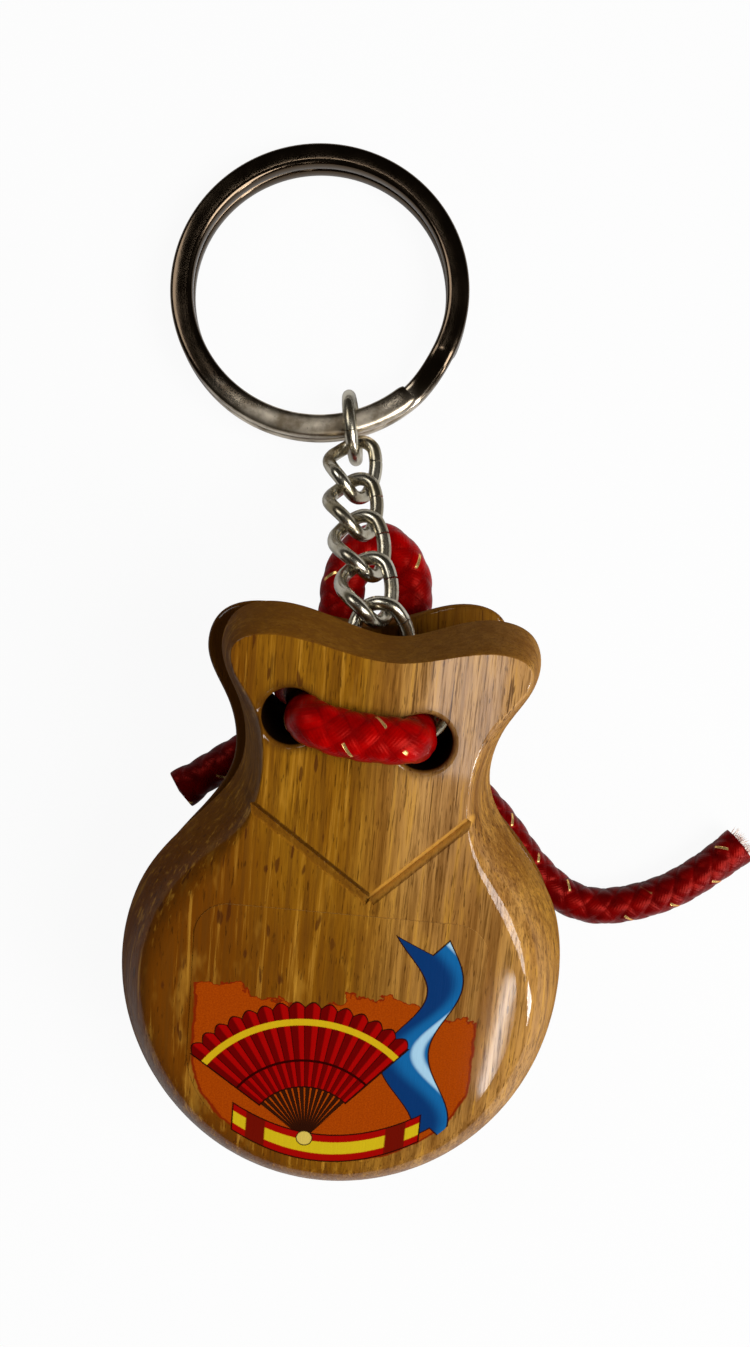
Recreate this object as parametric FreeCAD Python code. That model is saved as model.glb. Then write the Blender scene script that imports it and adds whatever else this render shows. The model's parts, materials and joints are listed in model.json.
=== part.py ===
"""Castanets on a key ring: two wooden shells laced with a braided cord, a curb chain and a split ring.

The set lies on its back on a table: +Z is up, +Y runs from the bowls towards the key ring, +X is to
the right of someone who looks down on the printed front shell. All sizes are millimetres.
"""
import FreeCAD, Part
import math
import os

Vector, Placement, Rotation = FreeCAD.Vector, FreeCAD.Placement, FreeCAD.Rotation
X_AXIS, Y_AXIS, Z_AXIS = Vector(1, 0, 0), Vector(0, 1, 0), Vector(0, 0, 1)

# Shell outline, measured up from the bottom tip of the bowl on the flat inner face
bowl_half_width = 16.8
bowl_widest_height = 17.6      # the bowl is an ellipse below this line
bowl_upper_reach = 15.2        # and a flatter ellipse above it
waist_half_width = 9.4
waist_height = 32.6
neck_half_width = 10.0
neck_rise = 4.6                # each rise is counted from the line before
lobe_half_width = 11.75
lobe_rise = 4.2
corner_half_width = 10.9
corner_rise = 2.6
shoulder_half_width = 7.7
shoulder_rise = 1.0
dip_offset = 1.2               # the hollow between the two lobes sits right of the middle
dip_depth = 1.8                # below the shoulders
neck_lean = 2.3                # degrees that everything above the bowl leans to the right

# Shell body. The outer face is smaller than the inner one: its edge is set in by these amounts
shell_thickness = 7.5
bowl_set_in = 3.8
bowl_upper_set_in = 3.0        # where the bowl runs into the waist
waist_set_in = 2.1
neck_set_in = 2.4
lobe_set_in = 1.8
corner_set_in = 1.1
shoulder_set_in = 0.9
dip_set_in = 0.3
bowl_doming = 1.0              # the wall is a quarter of an ellipse at 1 and a straight slope at 0
neck_doming = 0.4
wall_sections = (0, 15, 30, 45, 60, 75, 90)     # degrees round that quarter of an ellipse
inner_rounding = 0.35
hollow_radius = 10.5           # round sound hollow in the flat inner face
hollow_depth = 3.0
hollow_height = 16.5
groove_width = 0.9
groove_depth = 0.55
groove_end_half_width = 7.9
groove_end_height = 32.0
groove_side = 0.3              # the middle between the groove's ends, right of the shell's middle
groove_vertex_offset = 1.7
groove_vertex_height = 25.4

# Cord holes and the cord
cord_diameter = 3.2
hole_clearance = 0.45          # all round the cord
hole_spacing = 9.3
hole_side = 0.25               # the middle between the holes lies this far left of the shell's middle
hole_rise = 0.7                # above the neck's widest line
hole_skew = 0.5                # the left hole is drilled this much higher, the right one lower
hole_mouth_rounding = 0.4
cord_split_gap = 0.3           # between the lengths of cord that ride on the two shells
cord_leg_share = 0.8           # how far across the gape the lengths on the rear shell reach
cord_pull = 0.6                # share of the clearance that the front stretch is pulled inwards
cord_tight_bend = 2.2          # where the cord is pulled over the edge of a hole

# Printed transfer on the front shell
film_thickness = 0.06
film_half_width = 10.6
film_bottom = 4.1
film_widest_height = 12.4
film_top = 24.2
film_corner = 2.5

# Metal parts
chain_wire = 1.1
link_length = 6.9
link_width = 5.0
ring_link_length = 6.4
ring_link_width = 5.9
jump_ring_diameter = 7.6
split_ring_diameter = 25.0
split_ring_band = 1.9          # radial width of the wire
split_ring_wire = 1.4          # thickness of one turn
split_ring_turn_gap = 0.05
split_ring_end = -50.0         # degrees, where the front turn is cut off
split_ring_jog = 24.0          # degrees over which the wire steps from one turn to the other
metal_clearance = 0.2          # between pieces of metal that hang in each other

# How the set lies
rear_pitch = 7.0               # the knot holds the neck of the rear shell up
gape = 7.4                     # angle between the inner faces, shut at the bottom
rear_turn = -1.0               # about the vertical, the two shells lie slightly askew
front_turn = -5.2
lip_gap = 0.2
bowl_side = 2.78               # the middle of the bowl lies this far left of the origin
bowl_back = 21.4               # and this far behind it

# Chain, from the jump ring out to the key ring: heading, slope and roll of each link in degrees
jump_ring_pose = (22.0, 11.1, 20.0)
link_poses = [
    ("chain_link_5", 24.0, -4.5, -46.5),
    ("chain_link_4", 7.0, -36.0, 42.0),
    ("chain_link_3", 12.0, -37.5, -32.0),
    ("chain_link_2", 4.5, -41.0, 58.0),
    ("chain_link_1", -2.5, -38.0, -28.0),
    ("ring_link", 5.0, -9.5, 86.0),
]
jump_ring_share = 0.49         # how far up the gap the jump ring lies on the right leg of the cord
jump_ring_slack = 0.4          # between the jump ring and the cord where the chain pulls it
ring_hang_angle = 13.5         # where the ring link sits on the key ring, from its lowest point

# Cord routes on the table, chosen by hand
knot_width = 11.0
knot_length = 9.5
knot_depth = 5.8
knot_rounding = 2.6
knot_back = 1.8                # the knot sits this far below the holes, towards the bowl
cord_behind_shell = 0.9        # air between the rear shell and the cord that runs to the knot
table_clearance = 0.05
loop_seat = 0.2                # how far the loop's feet reach into the knot
loop_side = 2.45               # the loop stands this far right of the middle of the knot
loop_half_width = 3.2
loop_reach = 9.9               # from the middle of the knot to the middle of the loop's bend
left_tail_route = ((-1.5, -1.0), (-6.5, -2.3), (-14.1, -7.4))       # from the middle of the knot
right_tail_route = ((1.0, -1.5), (6.2, -3.6), (12.2, -8.0), (16.2, -13.4),
                    (20.25, -15.75), (24.95, -16.3), (29.45, -14.9), (33.1, -11.8))


def cord_radius():
    return cord_diameter / 2


def hole_radius():
    return cord_radius() + hole_clearance


def hole_height():
    return waist_height + neck_rise + hole_rise


def hole_place(side):
    """The centre of a cord hole on the inner face; side is -1 on the left and 1 on the right."""
    return Vector(side * hole_spacing / 2 - hole_side, hole_height() - side * hole_skew, 0)


def outline_points():
    """The shell's outline on the inner face: each point with the wall's set-in and doming there."""
    bottom = []
    for degrees in (-180, -150, -120, -90, -60, -30, 0):
        t = math.radians(degrees)
        place = Vector(bowl_half_width * math.cos(t), bowl_widest_height * (1 + math.sin(t)), 0)
        bottom.append((place, bowl_set_in, bowl_doming))
    side = []
    for degrees, set_in in ((22, bowl_set_in), (44, bowl_upper_set_in)):
        t = math.radians(degrees)
        y = bowl_widest_height + bowl_upper_reach * math.sin(t)
        side.append((bowl_half_width * math.cos(t), y, set_in, bowl_doming))
    y = waist_height
    side.append((waist_half_width, y, waist_set_in, neck_doming))
    for half_width, rise, set_in in ((neck_half_width, neck_rise, neck_set_in),
                                     (lobe_half_width, lobe_rise, lobe_set_in),
                                     (corner_half_width, corner_rise, corner_set_in),
                                     (shoulder_half_width, shoulder_rise, shoulder_set_in)):
        y += rise
        side.append((half_width, y, set_in, neck_doming))
    top = side + [(dip_offset, y - dip_depth, dip_set_in, neck_doming)]
    top += [(-x, y, set_in, doming) for x, y, set_in, doming in reversed(side)]
    return bottom + [(leaned(x, y), set_in, doming) for x, y, set_in, doming in top]


def leaned(x, y):
    """A point above the bowl's widest line, moved over with the leaning neck."""
    return Vector(x + (y - bowl_widest_height) * math.tan(math.radians(neck_lean)), y, 0)


def closed_curve(points, stations):
    """A smooth closed line through points, one at each station along it."""
    curve = Part.BSplineCurve()
    curve.interpolate(Points=points, PeriodicFlag=True, Parameters=stations)
    return curve


def shell_body():
    """The shell's solid block, a loft of outlines that draw in from the inner face to the outer one."""
    outline = outline_points()
    points = [point for point, set_in, doming in outline]
    stations = [0.0]
    for here, ahead in zip(points, points[1:] + points[:1]):
        stations.append(stations[-1] + (ahead - here).Length)
    curve = closed_curve(points, stations)
    wires = []
    for degrees in wall_sections:
        climb = math.sin(math.radians(degrees))
        bulge = 1 - math.cos(math.radians(degrees))
        level = []
        for (point, set_in, doming), station in zip(outline, stations):
            along = curve.tangent(station)[0]
            inward = Vector(-along.y, along.x, 0) * set_in * (doming * bulge + (1 - doming) * climb)
            level.append(point + inward + Vector(0, 0, shell_thickness * climb))
        wires.append(Part.Wire(closed_curve(level, stations).toShape()))
    return Part.makeLoft(wires, True, False)


def groove_cutter(start, end, top):
    """A long prism of triangular section that cuts a V-shaped line into a face at height top."""
    along = (end - start).normalize()
    across = Vector(-along.y, along.x, 0)
    half = across * (groove_width / 2)
    lift = Vector(0, 0, groove_depth)
    base = start + Vector(0, 0, top)
    corners = [base - half * 2 + lift, base + half * 2 + lift, base - lift]
    section = Part.Face(Part.makePolygon(corners + [corners[0]]))
    return section.extrude(end - start)


def hollow_cutter():
    """The ball that leaves the round sound hollow in the inner face."""
    radius = (hollow_radius ** 2 + hollow_depth ** 2) / (2 * hollow_depth)
    return Part.makeSphere(radius, Vector(0, hollow_height, hollow_depth - radius))


def is_level(edge, height):
    """Whether an edge lies flat at a height."""
    box = edge.BoundBox
    return abs(box.ZMin - height) < 1e-4 and abs(box.ZMax - height) < 1e-4


def shell():
    """The front shell, with its flat inner face on z = 0 and its outside above it."""
    body = shell_body()
    inner = [e for e in body.Edges if is_level(e, 0.0)]
    body = body.makeFillet(inner_rounding, inner)
    body = body.cut(hollow_cutter())
    for side in (-1, 1):
        drill = Part.makeCylinder(hole_radius(), shell_thickness, hole_place(side))
        body = body.cut(drill)
        rim = [e for e in body.Edges if is_level(e, shell_thickness) and is_rim(e, side)]
        body = body.makeFillet(hole_mouth_rounding, rim)
    vertex = Vector(groove_vertex_offset, groove_vertex_height, 0)
    for side in (-1, 1):
        end = Vector(groove_side + side * groove_end_half_width, groove_end_height, 0)
        body = body.cut(groove_cutter(vertex, end, shell_thickness))
    return body


def is_rim(edge, side):
    middle = edge.BoundBox.Center
    centre = hole_place(side)
    return math.hypot(middle.x - centre.x, middle.y - centre.y) < hole_radius()


def film():
    """The printed transfer, a thin plate on the front shell's outer face, round below and square above."""
    right, top = film_half_width, film_top
    depth = film_widest_height - film_bottom
    shoulder = top - film_corner
    inset = film_corner * (1 - math.sqrt(0.5))
    angles = [math.radians(180 + 15 * i) for i in range(13)]
    round_end = Part.BSplineCurve()
    rim = [Vector(right * math.cos(t), film_widest_height + depth * math.sin(t), 0) for t in angles]
    round_end.interpolate(rim)
    edges = [round_end.toShape()]
    edges.append(Part.LineSegment(Vector(right, film_widest_height, 0), Vector(right, shoulder, 0)).toShape())
    edges.append(Part.Arc(Vector(right, shoulder, 0), Vector(right - inset, top - inset, 0),
                          Vector(right - film_corner, top, 0)).toShape())
    flat = right - film_corner
    edges.append(Part.LineSegment(Vector(flat, top, 0), Vector(-flat, top, 0)).toShape())
    edges.append(Part.Arc(Vector(film_corner - right, top, 0), Vector(inset - right, top - inset, 0),
                          Vector(-right, shoulder, 0)).toShape())
    left = [Vector(-right, y, 0) for y in (shoulder, film_widest_height)]
    edges.append(Part.LineSegment(left[0], left[1]).toShape())
    plate = Part.Face(Part.Wire(edges)).extrude(Vector(0, 0, film_thickness))
    plate.translate(Vector(0, 0, shell_thickness))
    return plate


def rounded_path(points, name, tightest=None):
    """Straight runs joined by tangent arcs, as large as the runs allow or of the radius tightest."""
    edges, radii, start = [], [], points[0]
    for before, corner, after in zip(points, points[1:], points[2:]):
        into, out = corner - before, after - corner
        turn = into.getAngle(out)
        reach = 0.45 * min(into.Length, out.Length)
        if tightest:
            reach = tightest * math.tan(turn / 2)
        radii.append(reach / math.tan(turn / 2))
        first = corner - into * (reach / into.Length)
        last = corner + out * (reach / out.Length)
        inward = (first + last) * 0.5 - corner
        depth = radii[-1] / math.cos(turn / 2) - radii[-1]
        middle = corner + inward * (depth / inward.Length)
        edges.append(Part.LineSegment(start, first).toShape())
        edges.append(Part.Arc(first, middle, last).toShape())
        start = last
    edges.append(Part.LineSegment(start, points[-1]).toShape())
    print(f"{name}: arc radii {[round(r, 1) for r in radii]}, length {sum(e.Length for e in edges):.1f}")
    return Part.Wire(edges)


def tube(points, name, tightest=None):
    """A cord along rounded runs, checked against its section times its length."""
    path = rounded_path(points, name, tightest)
    along = points[1] - points[0]
    section = Part.Wire(Part.makeCircle(cord_radius(), points[0], along))
    solid = path.makePipeShell([section], True, False)
    expected = math.pi * cord_radius() ** 2 * path.Length
    print(f"{name}: volume {solid.Volume:.2f}, section times length {expected:.2f}")
    return solid


def chain_link(length, width):
    """A flat oval link in its own XY plane, long side on Y, centred on the origin."""
    wire_radius = chain_wire / 2
    bend = (width - chain_wire) / 2
    straight = length - width
    section = Part.Face(Part.Wire(Part.makeCircle(wire_radius, Vector(bend, 0, 0), Y_AXIS)))
    pieces = []
    for sign in (-1, 1):
        end = section.revolve(Vector(0, 0, 0), Z_AXIS, sign * 180)
        end.translate(Vector(0, sign * straight / 2, 0))
        side = Part.makeCylinder(wire_radius, straight, Vector(sign * bend, -straight / 2, 0), Y_AXIS)
        pieces += [end, side]
    return pieces[0].multiFuse(pieces[1:]).removeSplitter()


def band_section(degrees, height):
    """The split ring's rectangular wire, cut across at one angle with its lower face at a height."""
    t = math.radians(degrees)
    outer = split_ring_diameter / 2
    inner = outer - split_ring_band
    corners = []
    for radius, z in ((inner, 0), (outer, 0), (outer, split_ring_wire), (inner, split_ring_wire)):
        corners.append(Vector(radius * math.cos(t), radius * math.sin(t), height + z))
    return Part.makePolygon(corners + [corners[0]])


def ring_turn(height):
    """One flat turn of the split ring, from its jog round to the other side of the jog."""
    sweep = 360 - split_ring_jog
    start = split_ring_end + split_ring_jog
    face = Part.Face(band_section(start, height))
    return face.revolve(Vector(0, 0, 0), Z_AXIS, sweep)


def split_ring():
    """Two turns of rectangular wire, joined by the short stretch that steps from one to the other."""
    step = split_ring_wire + split_ring_turn_gap
    half = split_ring_wire + split_ring_turn_gap / 2
    count = 8
    sections = []
    for i in range(count + 1):
        share = i / count
        sections.append(band_section(split_ring_end + split_ring_jog * share, -half + step * share))
    jog = Part.makeLoft(sections, True, True)
    rear, front = ring_turn(-half), ring_turn(-half + step)
    return rear.fuse(jog).fuse(front)


def turned(heading, slope, roll, place):
    """A placement with local Y along a heading and slope, rolled about that direction."""
    rotation = Rotation(Z_AXIS, heading) * Rotation(X_AXIS, slope) * Rotation(Y_AXIS, roll)
    return Placement(place, rotation)


def placed(solid, placement):
    copy = solid.copy()
    copy.Placement = placement.multiply(copy.Placement)
    return copy


def lowest(solid):
    return solid.optimalBoundingBox().ZMin


def shell_placements(rear_solid):
    """Where the two inner faces lie: the rear shell on the table, the front one gaping over it."""
    bowl_place = Vector(-bowl_side, -bowl_back, 0)
    rear_rotation = Rotation(Z_AXIS, rear_turn) * Rotation(X_AXIS, rear_pitch)
    front_rotation = Rotation(Z_AXIS, front_turn) * Rotation(X_AXIS, rear_pitch + gape)
    bowl_centre = Vector(0, bowl_widest_height, 0)
    rear = Placement(bowl_place - rear_rotation.multVec(bowl_centre), rear_rotation)
    drop = lowest(placed(rear_solid, rear))
    rear.Base = rear.Base - Vector(0, 0, drop)
    rear_tip = rear.Base
    front = Placement(bowl_place - front_rotation.multVec(bowl_centre), front_rotation)
    front.Base = Vector(front.Base.x, front.Base.y, rear_tip.z + lip_gap)
    return rear, front


def build():
    """Every node by name, and the points that joints turn about."""
    front_solid = shell()
    rear_solid = front_solid.mirror(Vector(0, 0, 0), Z_AXIS)
    rear, front = shell_placements(rear_solid)
    nodes, marks = {}, {}
    nodes["rear_shell"] = placed(rear_solid, rear)
    nodes["front_shell"] = placed(front_solid, front)
    nodes["front_film"] = placed(film(), front)
    lay_cord(nodes, marks, rear, front)
    hang_chain(nodes, marks)
    return nodes, marks


def lay_cord(nodes, marks, rear, front):
    """The one cord, as the lengths that ride on each shell, its knot, its loop and its two tails."""
    radius = cord_radius()
    high = shell_thickness + radius
    left, right = hole_place(-1), hole_place(1)
    pulled = Vector(hole_clearance * cord_pull, 0, 0)
    low, up = Vector(0, 0, cord_split_gap), Vector(0, 0, high)
    route = [left + pulled + low, left + pulled + up, right - pulled + up, right - pulled + low]
    nodes["cord_front_stretch"] = placed(tube(route, "cord_front_stretch", cord_tight_bend), front)

    behind = Vector(0, 0, -shell_thickness - radius - cord_behind_shell)
    back = rear.multVec(Vector(0, hole_height() - knot_back, -shell_thickness))
    knot_centre = Vector(back.x, back.y, knot_depth / 2)
    knot_corner = knot_centre - Vector(knot_width, knot_length, knot_depth) * 0.5
    knot = Part.makeBox(knot_width, knot_length, knot_depth, knot_corner)
    knot = knot.makeFillet(knot_rounding, knot.Edges)
    knot = knot.cut(nodes["rear_shell"])
    for side, name in ((-1, "cord_left_leg"), (1, "cord_right_leg")):
        mouth = rear.multVec(hole_place(side))
        across = front.multVec(hole_place(side))
        start = mouth + (across - mouth) * cord_leg_share
        below = rear.multVec(hole_place(side) + behind)
        inside = Vector(knot_centre.x, below.y, below.z)
        leg = tube([start, mouth, below, inside], name)
        nodes[name] = leg.cut(knot)
        marks[name] = (mouth + across) * 0.5
    nodes["cord_knot"] = knot
    marks["knot_centre"] = knot_centre
    mouth, across = rear.multVec(hole_place(1)), front.multVec(hole_place(1))
    marks["jump_ring"] = mouth + (across - mouth) * jump_ring_share
    lay_tails(nodes, knot, knot_centre)


def lay_tails(nodes, knot, centre):
    """The standing loop and the two loose ends, lying on the table."""
    z = cord_radius() + table_clearance
    middle = Vector(centre.x + loop_side, centre.y + loop_reach, z)
    legs_end = centre.y + knot_length / 2 - loop_seat
    side = Vector(loop_half_width, 0, 0)
    a, b, c = middle - side, middle + Vector(0, loop_half_width, 0), middle + side
    feet = [Vector(p.x, legs_end, z) for p in (a, c)]
    path = Part.Wire([Part.LineSegment(feet[0], a).toShape(), Part.Arc(a, b, c).toShape(),
                      Part.LineSegment(c, feet[1]).toShape()])
    section = Part.Wire(Part.makeCircle(cord_radius(), feet[0], Y_AXIS))
    nodes["cord_loop"] = path.makePipeShell([section], True, False).cut(knot)
    for name, route in (("cord_left_tail", left_tail_route), ("cord_right_tail", right_tail_route)):
        points = [Vector(centre.x + x, centre.y + y, z) for x, y in route]
        nodes[name] = tube(points, name).cut(knot)


def hang_chain(nodes, marks):
    """The jump ring round the right leg of the cord, the links and the key ring, one after another."""
    wire_radius = chain_wire / 2
    heading, slope, roll = jump_ring_pose
    ring_radius = (jump_ring_diameter - chain_wire) / 2
    leg = marks["jump_ring"]
    slack = ring_radius - wire_radius - cord_radius() - jump_ring_slack
    frame = turned(heading, slope, roll, leg)
    ahead = frame.Rotation.multVec(Y_AXIS)
    centre = leg + ahead * slack
    frame.Base = centre
    torus = Part.makeTorus(ring_radius, wire_radius)
    nodes["jump_ring"] = placed(torus, frame)
    marks["jump_ring_normal"] = frame.Rotation.multVec(Z_AXIS)
    previous_wire = centre + ahead * ring_radius

    hook = chain_wire + metal_clearance
    for name, heading, slope, roll in link_poses:
        length, width = link_length, link_width
        if name == "ring_link":
            length, width = ring_link_length, ring_link_width
        reach = (length - chain_wire) / 2
        frame = turned(heading, slope, roll, Vector(0, 0, 0))
        ahead = frame.Rotation.multVec(Y_AXIS)
        centre = previous_wire + ahead * (reach - hook)
        frame.Base = centre
        nodes[name] = placed(chain_link(length, width), frame)
        marks[name] = previous_wire
        marks[name + "_normal"] = frame.Rotation.multVec(Z_AXIS)
        previous_wire = centre + ahead * reach

    half_stack = split_ring_wire + split_ring_turn_gap / 2
    band_middle = (split_ring_diameter - split_ring_band) / 2
    eye = ring_link_width / 2 - chain_wire
    seat = eye - math.sqrt(eye ** 2 - half_stack ** 2)
    on_band = previous_wire - ahead * (wire_radius + seat + split_ring_band / 2 + metal_clearance)
    hang = math.radians(ring_hang_angle)
    far_side = band_middle * math.cos(hang) + split_ring_diameter / 2
    tilt = -math.degrees(math.asin((on_band.z - half_stack) / far_side))
    rotation = Rotation(X_AXIS, tilt)
    spoke = rotation.multVec(Vector(math.sin(hang), -math.cos(hang), 0) * band_middle)
    centre = on_band - spoke
    ring = placed(split_ring(), Placement(centre, rotation))
    print(f"key ring: tilt {tilt:.1f} degrees, lowest point {lowest(ring):.2f}")
    nodes["split_ring"] = ring
    marks["ring_centre"] = centre
    marks["ring_normal"] = rotation.multVec(Z_AXIS)


def recentre(nodes):
    """The shift that puts the middle of the set, without its cord, over the origin."""
    box = FreeCAD.BoundBox()
    for name, solid in nodes.items():
        if not name.startswith("cord_"):
            box.add(solid.optimalBoundingBox())
    return Vector(-box.Center.x, -box.Center.y, -box.ZMin)


def main():
    os.makedirs("parts", exist_ok=True)
    nodes, marks = build()
    shift = recentre(nodes)
    print(f"shift {shift}")
    for name, solid in nodes.items():
        solid.translate(shift)
        box = solid.optimalBoundingBox()
        heights = f"z {box.ZMin:.2f} to {box.ZMax:.2f}"
        print(f"{name}: valid {solid.isValid()}, volume {solid.Volume:.1f}, {heights}")
        solid.exportStep(f"parts/{name}.step")
    for name, mark in marks.items():
        place = mark if name.endswith("_normal") else mark + shift
        print(f"mark {name}: {place.x:.4f} {place.y:.4f} {place.z:.4f}")


main()
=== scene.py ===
# %% [markdown]
# # Castanets on a key ring
# A souvenir pair of small wooden castanets. Two lacquered shells gape on a braided red cord, the cord
# is knotted behind them, and a curb chain leads from it to a split key ring. The hard model is loaded
# first as a fixed frame. Each body in it is a name that the dressed pieces ride on, so that everything
# moves as the real set does.

# %% Load the model
import json
import math
import bpy
from mathutils import Matrix, Vector


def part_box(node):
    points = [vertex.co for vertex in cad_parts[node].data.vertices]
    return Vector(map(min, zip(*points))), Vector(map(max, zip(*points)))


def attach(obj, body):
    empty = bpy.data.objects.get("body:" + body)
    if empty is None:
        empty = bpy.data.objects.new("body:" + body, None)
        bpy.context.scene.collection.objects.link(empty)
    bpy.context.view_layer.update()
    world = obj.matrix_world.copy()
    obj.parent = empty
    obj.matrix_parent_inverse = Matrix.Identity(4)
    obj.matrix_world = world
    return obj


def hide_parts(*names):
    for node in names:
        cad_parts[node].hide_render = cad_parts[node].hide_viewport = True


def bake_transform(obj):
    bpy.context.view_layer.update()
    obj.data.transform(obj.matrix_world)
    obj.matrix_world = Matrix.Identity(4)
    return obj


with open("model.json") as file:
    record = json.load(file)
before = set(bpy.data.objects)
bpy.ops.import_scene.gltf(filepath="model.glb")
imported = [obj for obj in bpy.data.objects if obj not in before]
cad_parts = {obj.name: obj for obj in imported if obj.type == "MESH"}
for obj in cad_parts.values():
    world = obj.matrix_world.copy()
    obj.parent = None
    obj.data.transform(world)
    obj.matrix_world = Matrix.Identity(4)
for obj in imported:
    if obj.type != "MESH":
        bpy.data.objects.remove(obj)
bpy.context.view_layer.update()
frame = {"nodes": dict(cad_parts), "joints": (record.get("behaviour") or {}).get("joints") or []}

MM = 0.001
UP = Vector((0, 0, 1))
joints = {joint["name"]: joint for joint in frame["joints"]}


def middle(node):
    """The middle of a node's box, in metres."""
    low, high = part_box(node)
    return (low + high) / 2


def add_object(name, data):
    thing = bpy.data.objects.new(name, data)
    bpy.context.scene.collection.objects.link(thing)
    return thing


def smooth_mesh(name, vertices, faces):
    mesh = bpy.data.meshes.new(name)
    mesh.from_pydata(vertices, [], faces)
    mesh.polygons.foreach_set("use_smooth", [True] * len(faces))
    return mesh


# %% [markdown]
# ## Camera
# The set lies on a table and the camera looks straight down on it from about a hand's length away.
# So near a camera makes the high front shell look larger than the ring on the table. The place is
# counted from the middle of the key ring, so that it stays right if the model shifts.

# %% Camera
CAMERA_HEIGHT = 122.01 * MM
RIGHT_OF_RING, BELOW_RING = 4.6 * MM, 32.0 * MM

camera_data = bpy.data.cameras.new("camera")
camera_data.lens = 38.03
camera_data.sensor_width = 36.0
camera_data.clip_start = 5 * MM
camera = add_object("camera", camera_data)
ring_middle = Vector(joints["key_ring_turn"]["pos_m"])
camera.location = (ring_middle.x + RIGHT_OF_RING, ring_middle.y - BELOW_RING, CAMERA_HEIGHT)
bpy.context.scene.camera = camera
print("camera at", [round(v, 4) for v in camera.location])

# %% [markdown]
# ## Where each shell lies
# Each shell was drawn flat and then turned and pitched on the table. Turning its points back gives its
# own frame: x across, y up from the tip of the bowl, z out of the inner face. The cord's lacing, the
# wood's grain and the printed design are all placed in that frame, so they tilt with the shell. The
# model's holes and its carved V are named here once, because several finishes follow them.

# %% Shell frames
class ShellFrame:
    """A shell's own frame in millimetres, with z = 0 on its inner face."""

    def __init__(self, node, turn, pitch, face_up):
        self.turn, self.pitch = math.radians(turn), math.radians(pitch)
        self.spin = Matrix.Rotation(self.turn, 3, "Z") @ Matrix.Rotation(self.pitch, 3, "X")
        back = self.spin.transposed()
        x, y, z = zip(*(back @ v.co for v in frame["nodes"][node].data.vertices))
        self.base = self.spin @ Vector(((min(x) + max(x)) / 2, min(y), min(z) if face_up else max(z)))

    def at(self, x, y, z):
        return self.base + self.spin @ Vector((x, y, z)) * MM


front = ShellFrame("front_shell", -5.2, 14.4, True)
rear = ShellFrame("rear_shell", -1.0, 7.0, False)
LEFT_HOLE, RIGHT_HOLE = (-4.9, 38.4), (4.4, 37.4)
HOLE_RADIUS = 2.2
GROOVE_TIP, GROOVE_ENDS = (1.7, 25.4), ((-7.6, 32.0), (8.2, 32.0))
SHELL_THICKNESS = 7.5
print("front shell starts at", [round(v * 1000, 2) for v in front.base], "mm")

# %% [markdown]
# ## Lines for the cord
# A braided cord never has a corner, so each length of it follows a NURBS curve. The curve object itself
# is only a guide: Blender turns it into a chain of points, and the points are spread out evenly.

# %% Cord lines
def smooth_line(points, step):
    """Evenly spaced points on the NURBS line with these control points."""
    curve = bpy.data.curves.new("guide", "CURVE")
    curve.dimensions = "3D"
    curve.resolution_u = 24
    spline = curve.splines.new("NURBS")
    spline.points.add(len(points) - 1)
    for point, place in zip(spline.points, points):
        point.co = (*place, 1)
    spline.order_u = 3
    spline.use_endpoint_u = True
    guide = add_object("guide", curve)
    graph = bpy.context.evaluated_depsgraph_get()
    mesh = bpy.data.meshes.new_from_object(guide.evaluated_get(graph))
    raw = [v.co.copy() for v in mesh.vertices]
    bpy.data.objects.remove(guide)
    bpy.data.curves.remove(curve)
    bpy.data.meshes.remove(mesh)
    along = [0.0]
    for a, b in zip(raw, raw[1:]):
        along.append(along[-1] + (b - a).length)
    count = max(2, round(along[-1] / step))
    line, k = [], 0
    for i in range(count + 1):
        want = along[-1] * i / count
        while k < len(raw) - 2 and along[k + 1] < want:
            k += 1
        share = (want - along[k]) / max(along[k + 1] - along[k], 1e-12)
        line.append(raw[k].lerp(raw[k + 1], min(max(share, 0), 1)))
    return line


def length_of(line):
    return sum((b - a).length for a, b in zip(line, line[1:]))


# %% [markdown]
# ## The braid
# The cord is a round braid of eight bundles of yarn, four wound each way round. Where two bundles
# cross, one lies on top as a small cushion. An image could fake that, but its outline would stay
# straight, so the cushions are real relief: the radius rises and falls over the crossings. The UV map
# counts bundles round the cord and cushions along it, and the material uses it to find the same ones.

# %% Braid mesh
BUNDLES = 4                 # wound each way
PER_BUNDLE = 12             # mesh steps round each one
CUSHION = 1.9 * MM          # length of one crossing along the cord
CORD_RADIUS = 1.53 * MM
RELIEF = 0.13 * MM
END_DOME = 0.25 * MM
STEP = CUSHION / PER_BUNDLE


def weave_height(around, along):
    """0 in the grooves between crossings and 1 on top of a cushion."""
    p, q = around + along, around - along
    if (math.floor(p) + math.floor(q)) % 2:
        p, q = q, p
    across, lengthways = 2 * (p % 1) - 1, 2 * (q % 1) - 1
    return math.sqrt(max(0, 1 - across ** 2)) * (1 - lengthways ** 4) ** 0.5


def travelling_frames(line):
    """A direction across the line at each point, turned as little as possible on the way."""
    ahead = []
    for i in range(len(line)):
        ahead.append((line[min(i + 1, len(line) - 1)] - line[max(i - 1, 0)]).normalized())
    side = ahead[0].cross(UP)
    if side.length < 0.2:
        side = ahead[0].cross(Vector((0, 1, 0)))
    sides = [side.normalized()]
    for a, b in zip(ahead, ahead[1:]):
        turned = a.rotation_difference(b) @ sides[-1]
        sides.append((turned - b * turned.dot(b)).normalized())
    return list(zip(ahead, sides))


def full_girth(share):
    return 1, 1


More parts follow.
